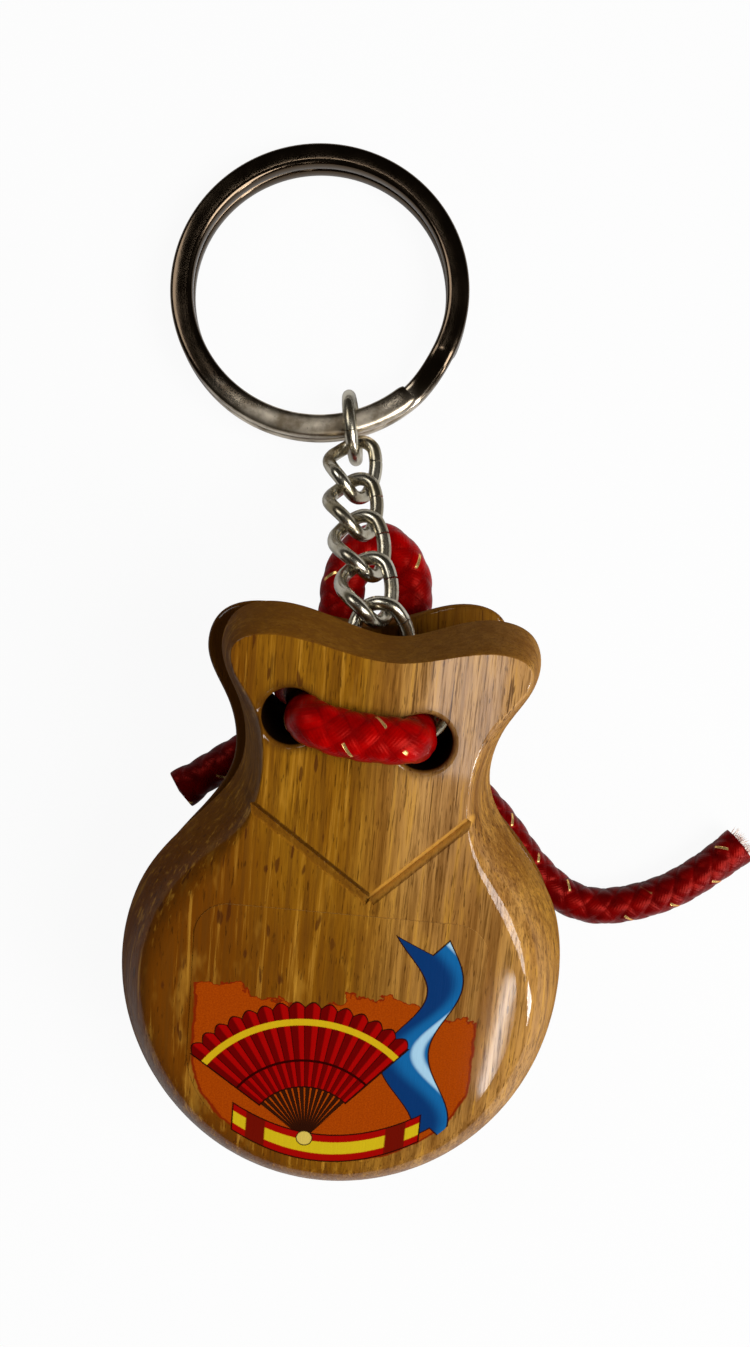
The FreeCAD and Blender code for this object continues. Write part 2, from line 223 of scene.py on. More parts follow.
def braided_cord(name, line, girth=full_girth, start=0.0, radius=CORD_RADIUS):
    """A closed braided tube. girth(share) gives how wide and how tall it is there."""
    around = BUNDLES * PER_BUNDLE
    vertices, uvs, faces = [], [], []
    frames = travelling_frames(line)
    for i, (place, (ahead, side)) in enumerate(zip(line, frames)):
        wide, tall = girth(i / (len(line) - 1))
        lift = side.cross(ahead)
        travelled = start + i / PER_BUNDLE
        for j in range(around):
            turn = 2 * math.pi * j / around
            height = weave_height(j / PER_BUNDLE, travelled)
            reach = radius - RELIEF * (1 - height)
            offset = side * (math.cos(turn) * reach * wide) + lift * (math.sin(turn) * reach * tall)
            vertices.append(place + offset)
    rings = len(line)
    for i in range(rings - 1):
        for j in range(around):
            k = (j + 1) % around
            faces.append((i * around + j, i * around + k, (i + 1) * around + k, (i + 1) * around + j))
            u = [j / PER_BUNDLE, (j + 1) / PER_BUNDLE]
            v = [start + i / PER_BUNDLE, start + (i + 1) / PER_BUNDLE]
            uvs += [(u[0], v[0]), (u[1], v[0]), (u[1], v[1]), (u[0], v[1])]
    for end, ring, sign in ((line[0], 0, -1), (line[-1], rings - 1, 1)):
        ahead = frames[ring][0]
        centre = len(vertices)
        vertices.append(end + ahead * (sign * END_DOME))
        for j in range(around):
            a, b = ring * around + j, ring * around + (j + 1) % around
            faces.append((centre, a, b) if sign > 0 else (centre, b, a))
            v = start + ring / PER_BUNDLE
            uvs += [(j / PER_BUNDLE, v)] * 3
    mesh = smooth_mesh(name, vertices, faces)
    layer = mesh.uv_layers.new(name="braid")
    layer.data.foreach_set("uv", [c for uv in uvs for c in uv])
    mesh.update()
    print(f"{name}: {length_of(line) * 1000:.1f} mm long, {len(faces)} faces")
    return add_object(name, mesh)


# %% [markdown]
# ## The long tail
# Behind the shells the cord ends in a knot, and the longer of its two ends lies on the table to the
# right in one slack curve.
# Its control points keep close to the model's route, counted from the middle of the knot.

# %% Long tail
knot = middle("cord_knot")
table_height = (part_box("cord_right_tail")[0].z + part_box("cord_right_tail")[1].z) / 2
right_tail_route = [(1.0, -1.5), (6.2, -3.8), (12.0, -8.8), (15.9, -14.7),
                    (19.9, -17.5), (25.0, -16.9), (29.4, -15.0), (33.1, -12.1)]


def line_on_table(route):
    """The cord's line through points in millimetres from the knot, at the height of a lying cord."""
    return smooth_line([(knot.x + x * MM, knot.y + y * MM, table_height) for x, y in route], STEP)


def cut_end(begin, wider, flatter):
    """The girth of a cord that gets wider and flatter from a share of its length to its cut end."""
    def girth(share):
        near_end = max(0, (share - begin) / (1 - begin))
        return 1 + wider * near_end, 1 - flatter * near_end
    return girth


right_line = line_on_table(right_tail_route)
right_tail = braided_cord("cord_long_tail", right_line, cut_end(0.93, 0.08, 0.12))
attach(right_tail, "rear")
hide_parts("cord_right_tail")

# %% [markdown]
# ## The short tail and the loop
# The other end sticks out on the left and was cut straight across, which pinched it flat. Between the
# two, the cord is drawn out of the knot as a loop, and lies a little flat under its own weight.

# %% Short tail and loop
left_tail_route = [(-1.5, -1.0), (-6.5, -2.3), (-14.1, -7.4)]
left_tail = braided_cord("cord_short_tail", line_on_table(left_tail_route), cut_end(0.86, 0.16, 0.35),
                         start=0.4)
loop_route = [(-2.0, -0.5), (-1.5, 3.3), (-0.6, 7.2), (-0.4, 11.1), (2.45, 14.05), (5.35, 11.1),
              (5.15, 7.0), (3.9, 3.2), (2.4, -0.5)]


def loop_girth(share):
    return 1.2, 1.0


loop = braided_cord("cord_knot_loop", line_on_table(loop_route), loop_girth, start=0.2, radius=1.6 * MM)

# %% [markdown]
# ## The knot
# The knot is three turns of the cord laid side by side round the loop's feet, as in a stopper knot. Its
# turns are flat ovals, because the shells press it against the table.

# %% Knot
def knot_route():
    """Control points of three slanting turns round the y direction."""
    turns, per_turn = 3, 8
    half_width, half_height, half_length, slant = 4.15, 1.45, 3.1, 0.5
    points = []
    for i in range(turns * per_turn + 1):
        turn = 2 * math.pi * i / per_turn + 0.5
        share = i / (turns * per_turn)
        x = half_width * math.cos(turn)
        y = half_length * (2 * share - 1) + slant * math.cos(turn)
        z = half_height * math.sin(turn)
        points.append((knot.x + x * MM, knot.y + y * MM, knot_height + z * MM))
    return points


knot_low, knot_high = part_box("cord_knot")
knot_height = (knot_low.z + knot_high.z) / 2
knot_turns = braided_cord("cord_knot_turns", smooth_line(knot_route(), STEP), radius=1.45 * MM)

# %% [markdown]
# ## The lacing
# One stretch of cord runs up through the left holes of both shells, across the front and down through
# the right holes. It lies tight against the inner side of each hole.

# %% Lacing
def lacing_route():
    points = [Vector((knot.x - 2.4 * MM, knot.y + 0.3 * MM, knot_height))]
    (left, left_y), (right, right_y) = LEFT_HOLE, RIGHT_HOLE
    points += [rear.at(left + 0.4, left_y, z) for z in (-9.2, -5.5, -1.0)]
    points += [front.at(left + x, left_y + 0.2, z) for x, z in ((0.7, 1.0), (0.85, 5.6), (1.05, 8.5))]
    points += [front.at(-1.65, 38.05, 8.85), front.at(1.15, 37.75, 8.8)]
    points += [front.at(right - x, right_y + 0.35, z) for x, z in ((0.5, 8.5), (0.4, 5.6), (0.35, 1.0))]
    points += [rear.at(right - 0.3, right_y, z) for z in (-1.0, -5.5, -9.2)]
    points.append(Vector((knot.x + 2.4 * MM, knot.y - 0.3 * MM, knot_height)))
    return points


def bell(share, centre, spread):
    return math.exp(-((share - centre) / spread) ** 2)


def lacing_girth(share):
    """Squeezed in the holes, and spread where it bends out of them."""
    middle_part = bell(share, 0.5, 0.075)
    left_bend, right_bend = bell(share, 0.36, 0.045), bell(share, 0.64, 0.045)
    wide = 1.0 + 0.1 * middle_part + 0.12 * left_bend + 0.14 * right_bend
    tall = 0.9 - 0.02 * middle_part - 0.2 * left_bend - 0.1 * right_bend
    return wide, tall


lacing = braided_cord("cord_lacing", smooth_line(lacing_route(), STEP), lacing_girth, start=0.3,
                      radius=1.55 * MM)
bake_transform(lacing)
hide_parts("cord_front_stretch", "cord_left_leg", "cord_right_leg")
for piece, node in ((left_tail, "cord_left_tail"), (loop, "cord_loop"), (knot_turns, "cord_knot")):
    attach(piece, "rear")
    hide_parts(node)

# %% [markdown]
# ## Node trees as expressions
# Every finish and every repeated shape below is a node tree. Wiring nodes by hand hides what they work
# out, so a small class wraps a socket and gives it arithmetic: an expression such as 1 - mask adds the
# Math nodes. All other nodes come from one method, which takes the node's type, its settings and the
# values or links of its sockets.

# %% Node expressions
class Value:
    """One output socket that can be used in arithmetic."""

    def __init__(self, net, socket):
        self.net, self.socket = net, socket

    def other(self, name):
        return Value(self.net, self.socket.node.outputs[name])

    def math(self, operation, *rest):
        return self.net.add("ShaderNodeMath", {"operation": operation}, dict(enumerate((self, *rest))))

    def __add__(self, other):
        return self.math("ADD", other)

    __radd__ = __add__

    def __sub__(self, other):
        return self.math("SUBTRACT", other)

    def __rsub__(self, other):
        return self.net.add("ShaderNodeMath", {"operation": "SUBTRACT"}, {0: other, 1: self})

    def __mul__(self, other):
        return self.math("MULTIPLY", other)

    __rmul__ = __mul__

    def __truediv__(self, other):
        return self.math("DIVIDE", other)

    def __pow__(self, other):
        return self.math("POWER", other)

    def __mod__(self, other):
        return self.math("FLOORED_MODULO", other)

    def __abs__(self):
        return self.math("ABSOLUTE")

    def floor(self):
        return self.math("FLOOR")

    def sine(self):
        return self.math("SINE")

    def least(self, other):
        return self.math("MINIMUM", other)

    def most(self, other):
        return self.math("MAXIMUM", other)

    def rise(self, low, high):
        """0 below low, 1 above high and smooth between them."""
        return self.net.add("ShaderNodeMapRange", {"interpolation_type": "SMOOTHSTEP"},
                            {"Value": self, "From Min": low, "From Max": high})


class Net:
    """A node tree that is written as Python expressions."""

    def __init__(self, tree):
        self.tree = tree
        tree.nodes.clear()

    def add(self, kind, settings=None, sockets=None, out=0):
        node = self.tree.nodes.new(kind)
        for key, value in (settings or {}).items():
            setattr(node, key, value)
        for key, value in (sockets or {}).items():
            if isinstance(value, Value):
                self.tree.links.new(value.socket, node.inputs[key])
            else:
                node.inputs[key].default_value = value
        return Value(self, node.outputs[out]) if len(node.outputs) else None

    def mix(self, factor, a, b):
        return self.add("ShaderNodeMix", {"data_type": "RGBA"}, {0: factor, 6: a, 7: b}, 2)

    def noise(self, vector, stretch, detail=2.0, roughness=0.5, distortion=0.0):
        scaled = self.add("ShaderNodeVectorMath", {"operation": "MULTIPLY"}, {0: vector, 1: stretch})
        return self.add("ShaderNodeTexNoise", {}, {"Vector": scaled, "Scale": 1.0, "Detail": detail,
                                                   "Roughness": roughness, "Distortion": distortion})

    def split(self, vector):
        x = self.add("ShaderNodeSeparateXYZ", {}, {0: vector})
        return x, x.other("Y"), x.other("Z")

    def coordinates(self, kind):
        return self.add("ShaderNodeTexCoord", {}, {}, kind)

    def along(self, direction, way):
        """1 where a direction runs along the way, either way round, and 0 where it is square to it."""
        return abs(self.add("ShaderNodeVectorMath", {"operation": "DOT_PRODUCT"},
                            {0: direction, 1: tuple(way)}, "Value"))

    def bump(self, height, strength, distance):
        return self.add("ShaderNodeBump", {}, {"Strength": strength, "Distance": distance,
                                               "Height": height})

    def dress(self, geometry, given):
        """The end of a geometry tree: puts its shape in place, smooths it and gives it its finish."""
        turn = self.add("FunctionNodeEulerToRotation", {}, {0: given["Turn"]})
        placed = self.add("GeometryNodeTransform", {}, {"Geometry": geometry, "Rotation": turn,
                                                        "Translation": given["Place"]})
        real = self.add("GeometryNodeRealizeInstances", {}, {0: placed})
        smooth = self.add("GeometryNodeSetShadeSmooth", {}, {"Geometry": real})
        dressed = self.add("GeometryNodeSetMaterial", {}, {"Geometry": smooth,
                                                           "Material": given["Finish"]})
        self.add("NodeGroupOutput", {}, {0: dressed})


def shade(code):
    """A colour written as an sRGB code, as the linear numbers that sockets take."""
    parts = [int(code[i:i + 2], 16) / 255 for i in (1, 3, 5)]
    return (*[c / 12.92 if c <= 0.04045 else ((c + 0.055) / 1.055) ** 2.4 for c in parts], 1.0)


def new_finish(name):
    material = bpy.data.materials.new(name)
    material.use_nodes = True
    return material, Net(material.node_tree)


def surface(net, sockets):
    shader = net.add("ShaderNodeBsdfPrincipled", {}, sockets)
    net.add("ShaderNodeOutputMaterial", {}, {"Surface": shader})


# %% [markdown]
# ## Satin braid
# The yarn is a deep red satin with gold threads wound in. Colour follows the same crossings as the
# relief: the two UV directions added and subtracted count the bundles each way, and the parity of the
# two counts says which bundle is on top. Faint ridges along the top bundle are its separate yarns, and
# the groove between cushions is painted darker as painted shade. A gold thread shows as a short dash,
# only where its own bundle is on top and hasn't sunk in. Both tails are painted in darker reds, as
# painted shade for the shells' shadow on the table where they lie.

# %% Satin braid
def satin_braid(name, deep, bright):
    material, net = new_finish(name)
    u, v, _ = net.split(net.add("ShaderNodeUVMap", {"uv_map": "braid"}))
    p, q = u + v, u - v
    first, second = p.floor(), q.floor()
    on_top = (first + second) % 2.0
    across = (p - first) * (1 - on_top) + (q - second) * on_top
    along = (q - second) * (1 - on_top) + (p - first) * on_top
    centred, endwise = across * 2 - 1, along * 2 - 1
    cushion = (1 - centred * centred) * (1 - endwise ** 4)
    place = net.coordinates("Object")
    mottle = net.noise(place, (700, 700, 700), 3)
    fuzz = net.noise(place, (5200, 5200, 5200), 2)
    yarns = (across * 44.0 + mottle * 1.5).sine() * 0.5 + 0.5
    red = net.mix(mottle.rise(0.3, 0.75), shade(deep), shade(bright))
    red = net.mix(yarns * 0.1, red, shade("#4a0001"))
    # painted shade: the groove between the cushions is darkened
    red = net.mix((1 - cushion.rise(0.0, 0.55)) * 0.28, red, shade("#3c0002"))
    lane = (first % 2.0).math("COMPARE", 1.0, 0.4)
    thread = abs(across - 0.42).rise(0.085, 0.05) * lane * (1 - on_top)
    stretches = net.noise(place, (330, 330, 330), 0)
    thread = thread * abs(along - 0.5).rise(0.42, 0.34) * stretches.rise(0.46, 0.52)
    colour = net.mix(thread, red, shade("#e8c078"))
    rough = 0.27 + fuzz * 0.15 - thread * 0.1
    height = yarns * 0.18 + fuzz * 0.3 + thread * 0.8
    surface(net, {"Base Color": colour, "Roughness": rough, "Metallic": thread * 0.8,
                  "Normal": net.bump(height, 0.5, 0.07 * MM),
                  "Specular IOR Level": 0.4, "Specular Tint": (1.0, 0.06, 0.04, 1)})
    return material


braid_finish = satin_braid("satin braid", "#700001", "#a20101")
# painted shade: darker reds for the tails, which lie in the shells' shadow on the table
shaded_tails_finish = satin_braid("satin braid tails", "#4a0001", "#6c0101")
for piece in (loop, knot_turns, lacing):
    piece.data.materials.append(braid_finish)
for piece in (right_tail, left_tail):
    piece.data.materials.append(shaded_tails_finish)
print("satin braid:", len(braid_finish.node_tree.nodes), "nodes")

# %% [markdown]
# ## The frayed end
# At the end of the long tail the braid has come apart a little, and pale core yarns stick out. They
# repeat with small changes, so Geometry Nodes makes them: points spread over the cut, one tapered yarn
# on each, turned and scaled at random with a fixed seed.

# %% Helpers for geometry trees
def new_tree(name, inputs):
    """A geometry tree, its expressions, and its inputs by name."""
    tree = bpy.data.node_groups.new(name, "GeometryNodeTree")
    net = Net(tree)
    for label, kind in inputs:
        tree.interface.new_socket(name=label, in_out="INPUT", socket_type="NodeSocket" + kind)
    tree.interface.new_socket(name="Geometry", in_out="OUTPUT", socket_type="NodeSocketGeometry")
    start = net.add("NodeGroupInput")
    return tree, net, {label: start.other(label) for label, _ in inputs}


def grown(name, tree, values):
    """An object made by a geometry tree, as a plain mesh without its modifier."""
    piece = add_object(name, bpy.data.meshes.new(name))
    modifier = piece.modifiers.new("tree", "NODES")
    modifier.node_group = tree
    sockets = {item.name: item.identifier for item in tree.interface.items_tree if item.in_out == "INPUT"}
    for label, value in values.items():
        modifier[sockets[label]] = value
    bpy.context.view_layer.update()
    graph = bpy.context.evaluated_depsgraph_get()
    mesh = bpy.data.meshes.new_from_object(piece.evaluated_get(graph))
    piece.modifiers.clear()
    piece.data = mesh
    mesh.name = name
    print(f"{name}: {len(mesh.polygons)} faces")
    return piece


# %% Yarn tree
GOLDEN_ANGLE = 2.39996      # radians; it spreads points evenly over a disc


def yarn_tree():
    tree, net, given = new_tree("frayed yarns", [
        ("Count", "Int"), ("Spread", "Float"), ("Length", "Float"), ("Thickness", "Float"),
        ("Place", "Vector"), ("Turn", "Vector"), ("Seed", "Int"), ("Finish", "Material")])
    index = net.add("GeometryNodeInputIndex")
    angle = index * GOLDEN_ANGLE
    reach = ((index + 0.5) / given["Count"]) ** 0.5 * given["Spread"]
    spot = net.add("ShaderNodeCombineXYZ", {}, {0: angle.math("COSINE") * reach, 1: angle.sine() * reach})
    points = net.add("GeometryNodePoints", {}, {"Count": given["Count"], "Position": spot})
    yarn = net.add("GeometryNodeMeshCone", {}, {"Vertices": 5, "Side Segments": 3,
                                                "Radius Top": 0.0, "Radius Bottom": given["Thickness"],
                                                "Depth": given["Length"]})
    lean = net.add("FunctionNodeRandomValue", {"data_type": "FLOAT_VECTOR"},
                   {0: (-0.55, -0.55, 0.0), 1: (0.55, 0.55, 6.2), "Seed": given["Seed"]})
    turn = net.add("FunctionNodeEulerToRotation", {}, {0: lean})
    size = net.add("FunctionNodeRandomValue", {"data_type": "FLOAT"},
                   {2: 0.45, 3: 1.1, "Seed": given["Seed"] + 5}, 1)
    placed = net.add("GeometryNodeInstanceOnPoints", {}, {"Points": points, "Instance": yarn,
                                                          "Rotation": turn, "Scale": size})
    net.dress(placed, given)
    return tree


def pale_yarn():
    material, net = new_finish("pale core yarn")
    place = net.coordinates("Object")
    mottle = net.noise(place, (2500, 2500, 2500), 2)
    colour = net.mix(mottle.rise(0.35, 0.65), shade("#c9a79c"), shade("#e9ddd2"))
    surface(net, {"Base Color": colour, "Roughness": 0.6 + mottle * 0.2,
                  "Normal": net.bump(mottle, 0.4, 0.03 * MM)})
    return material


tail_end = right_line[-1]
tail_ahead = (right_line[-1] - right_line[-4]).normalized()
outward = tail_ahead.to_track_quat("Z", "Y").to_euler()
fray = grown("cord_frayed_end", yarn_tree(), {
    "Count": 70, "Spread": 1.15 * MM, "Length": 1.0 * MM, "Thickness": 0.09 * MM,
    "Place": list(tail_end - tail_ahead * (0.05 * MM)), "Turn": list(outward), "Seed": 4,
    "Finish": pale_yarn()})
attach(fray, "rear")
round(length_of(right_line), 4)

# %% [markdown]
# ## Chain links
# A curb link is an oval of wire with a quarter twist, so that the links nest and the chain lies flat.
# Every link is the same, so one tree bends them all: an arc is stretched to an oval, twisted about its
# long axis and swept with a round section. A hair-fine gap in the arc is where the wire was closed.
# Without straight sides and twist, the same tree bends a round ring.

# %% Link tree
def link_tree():
    tree, net, given = new_tree("bent wire link", [
        ("Length", "Float"), ("Width", "Float"), ("Wire", "Float"), ("Twist", "Float"), ("Gap", "Float"),
        ("Gap Place", "Float"), ("Place", "Vector"), ("Turn", "Vector"), ("Finish", "Material")])
    bend = (given["Width"] - given["Wire"]) / 2
    straight = (given["Length"] - given["Width"]) / 2
    arc = net.add("GeometryNodeCurveArc", {"mode": "RADIUS"}, {
        "Resolution": 112, "Radius": bend, "Start Angle": given["Gap Place"],
        "Sweep Angle": 2 * math.pi - given["Gap"] / bend})
    x, y, _ = net.split(net.add("GeometryNodeInputPosition"))
    end_share = 0.45            # of the bend, past which the arc moves out as a whole
    stretched = y + straight * (y / (bend * end_share)).least(1.0).most(-1.0)
    turn = given["Twist"] * stretched / (bend + straight)
    spot = net.add("ShaderNodeCombineXYZ", {}, {0: x * turn.math("COSINE"), 1: stretched,
                                                2: 0 - x * turn.sine()})
    oval = net.add("GeometryNodeSetPosition", {}, {"Geometry": arc, "Position": spot})
    section = net.add("GeometryNodeCurvePrimitiveCircle", {"mode": "RADIUS"},
                      {"Resolution": 20, "Radius": given["Wire"] / 2})
    swept = net.add("GeometryNodeCurveToMesh", {}, {"Curve": oval, "Profile Curve": section,
                                                    "Fill Caps": True})
    net.dress(swept, given)
    return tree


# %% [markdown]
# ## Worn nickel
# The chain and the ring are nickel-plated steel that has rubbed against keys. Bare metal is nearly all
# reflection, so its look comes from roughness and a little colour: patches are duller and yellower, and
# fine scratches catch the light. Below about 20 mm in y the ring keeps the bright nickel colour. The rest
# of it is painted dark brown and kept polished, a painted reflection of the dim room in its flat faces.

# %% Worn nickel
DARKENING_STARTS, DARKENING_ENDS = 19.5 * MM, 24.5 * MM    # along y
DARK_PART_ROUGHNESS = 0.08


def worn_nickel(name, bright, dull, base_rough, scratch_size, dark_reflection=None):
    material, net = new_finish(name)
    place = net.coordinates("Object")
    patches = net.noise(place, (420, 420, 420), 4, 0.6)
    scratches = net.noise(place, (scratch_size, scratch_size * 0.13, scratch_size * 0.7), 3, 0.6, 0.4)
    specks = net.noise(place, (5200, 5200, 5200), 2)
    colour = net.mix(patches.rise(0.38, 0.68), shade(bright), shade(dull))
    colour = net.mix(specks.rise(0.66, 0.78) * 0.5, colour, shade("#5b5448"))
    rough = base_rough + patches.rise(0.3, 0.7) * 0.08 + scratches * 0.06
    if dark_reflection:
        _, y, _ = net.split(place)
        # painted reflection: the ring is painted dark brown above a line across it, for the dim room in its
        # flats
        painted_dark = (y + patches * (4 * MM)).rise(DARKENING_STARTS, DARKENING_ENDS)
        colour = net.mix(painted_dark, colour, shade(dark_reflection))
        rough = rough - painted_dark * (base_rough - DARK_PART_ROUGHNESS)
    surface(net, {"Base Color": colour, "Roughness": rough, "Metallic": 1.0,
                  "Normal": net.bump(scratches + specks * 0.15, 0.22, 0.02 * MM)})
    return material


chain_finish = worn_nickel("worn nickel chain", "#c6bfae", "#94896f", 0.19, 2600)
ring_finish = worn_nickel("worn nickel ring", "#dccfba", "#8f806a", 0.26, 1800, "#55483a")

# %% Chain and rings of wire
bent_link = link_tree()
WIRE, CLOSING_GAP = 1.1 * MM, 0.05 * MM
CREASE = math.radians(50)   # sharper edges are shaded as edges


def wire_piece(name, node, body, size, twist, turn, gap_place):
    """A closed piece of bent wire of a length and width in millimetres, in place of a node."""
    piece = grown(name, bent_link, {
        "Length": size[0] * MM, "Width": size[1] * MM, "Wire": WIRE,
        "Twist": math.radians(twist), "Gap": CLOSING_GAP, "Gap Place": math.radians(gap_place),
        "Place": list(middle(node)), "Turn": list(turn), "Finish": chain_finish})
    piece.data.set_sharp_from_angle(angle=CREASE)
    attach(piece, body)
    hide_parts(node)


def link_turn(ahead, roll):
    """The turn that lays a link along a direction, rolled about it by so many degrees."""
    level = (UP - ahead * UP.dot(ahead)).normalized()
    across = ahead.cross(level)
    angle = math.radians(roll)
    x = across * math.cos(angle) - level * math.sin(angle)
    z = across * math.sin(angle) + level * math.cos(angle)
    return Matrix((x, ahead, z)).transposed().to_euler()


def swinging_link(name, node, body, size, twist, roll, gap_place):
    """A link that lies from its joint towards its own middle."""
    ahead = (middle(node) - Vector(joints[body + "_swing"]["pos_m"])).normalized()
    wire_piece(name, node, body, size, twist, link_turn(ahead, roll), gap_place)


CURB_LINK, END_LINK = (6.9, 5.0), (6.4, 5.9)
for number, roll in ((5, 14), (4, 16), (3, 18), (2, 16), (1, 14)):
    swinging_link(f"curb_link_{number}", f"chain_link_{number}", f"link_{number}", CURB_LINK, -45, roll, 12)
swinging_link("end_link", "ring_link", "hook", END_LINK, 0, 86, 200)

# %% [markdown]
# ## The jump ring
# A plain round ring joins the chain to the cord in the gap between the shells. It is the same bent wire
# as a link, with no straight sides and no twist, and it lies in the plane that its joint turns in.

# %% Jump ring
JUMP_RING = (7.6, 7.6)
jump_normal = Vector(joints["jump_swing"]["axis"])
wire_piece("jump_ring_wire", "jump_ring", "jump", JUMP_RING, 0,
           jump_normal.to_track_quat("Z", "Y").to_euler(), 250)

# %% [markdown]
# ## The split ring
# The key ring is one springy wire wound twice round. It lies flat in two turns, with a short step where
# it passes from the lower turn to the upper one, and each end is cut off square. The wire's section is
# a rounded oblong, so it is swept in code, round a true circle.

# %% Split ring
def split_ring():
    outer, band, wire, air = 12.5, 1.9, 1.4, 0.05       # millimetres
    radius = outer - band / 2
    lift = (wire + air) / 2
    first, last = -26.0, 670.0                          # degrees, from end to end of the wire
    step_from, step_over = 310, 24
    steps, corners = 464, 28
    squareness, end_rounding = 0.5, 0.12
    vertices, faces = [], []
    for i in range(steps + 1):
        degrees = first + (last - first) * i / steps
        step = min(max((degrees - step_from) / step_over, 0), 1)
        step = step * step * (3 - 2 * step)
        end = min(i, steps - i) / 2
        shrink = 1 - end_rounding * max(0, 1 - end) ** 2
        height = lift * (2 * step - 1)
        angle = math.radians(degrees)
        spoke = Vector((math.cos(angle), math.sin(angle), 0))
        for j in range(corners):
            t = 2 * math.pi * j / corners
            c, s = math.cos(t), math.sin(t)
            reach = math.copysign(abs(c) ** squareness, c) * band / 2 * shrink
            rise = math.copysign(abs(s) ** squareness, s) * wire / 2 * shrink
            vertices.append((spoke * (radius + reach) + UP * (height + rise)) * MM)
    for i in range(steps):
        for j in range(corners):
            k = (j + 1) % corners
            a, b = i * corners, (i + 1) * corners
            faces.append((a + j, b + j, b + k, a + k))
    faces.append(tuple(reversed(range(corners))))
    faces.append(tuple(range(steps * corners, (steps + 1) * corners)))
    return smooth_mesh("key_ring", vertices, faces)


key_ring = add_object("key_ring", split_ring())
tilt = Matrix.Rotation(-math.asin(Vector(joints["key_ring_turn"]["axis"]).y), 4, "X")
key_ring.data.transform(Matrix.Translation(ring_middle) @ tilt)
key_ring.data.set_sharp_from_angle(angle=CREASE)
key_ring.data.materials.append(ring_finish)
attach(key_ring, "key_ring")
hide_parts("split_ring")
print("key ring:", len(key_ring.data.polygons), "faces")

# %% [markdown]
# ## Lacquered wood
# The shells are cut from one plank, with the grain running from the bowl to the neck, and dipped in
# clear lacquer. The grain is noise that is stretched along y in the shell's own frame. Several sizes
# are laid over each other: slow bands, streaks, hair-fine pores, a few dark flecks on the left and thin
# cracks on the right of the neck. Painted shade darkens the wood low and to the left, a painted sheen
# makes it paler towards the right, and soft painted glints lie in the grain. The drilled holes are
# scorched dark, and their inner walls are painted near black, as scorch and painted shade. The cut ends of
# the grain soak up lacquer and darken, the carved V has painted shade in its left arm and a painted
# highlight in its right arm, and the lacquer is thick only where the surface is level, since it ran off the
# sides.

# %% Lacquered wood
def distance(x, y, spot):
    """How far a point is from a spot."""
    return ((x - spot[0]) ** 2 + (y - spot[1]) ** 2) ** 0.5


def line_distance(x, y, start, end):
    """How far a point is from a straight line between two spots."""
    dx, dy = end[0] - start[0], end[1] - start[1]
    share = (((x - start[0]) * dx + (y - start[1]) * dy) / (dx * dx + dy * dy)).most(0.0).least(1.0)
    return ((x - start[0] - share * dx) ** 2 + (y - start[1] - share * dy) ** 2) ** 0.5


def shell_place(net, shell):
    """The point in the shell's own frame, in millimetres."""
    return net.add("ShaderNodeMapping", {"vector_type": "TEXTURE"}, {
        "Vector": net.coordinates("Object"), "Location": tuple(shell.base),
        "Rotation": (shell.pitch, 0.0, shell.turn), "Scale": (MM, MM, MM)})


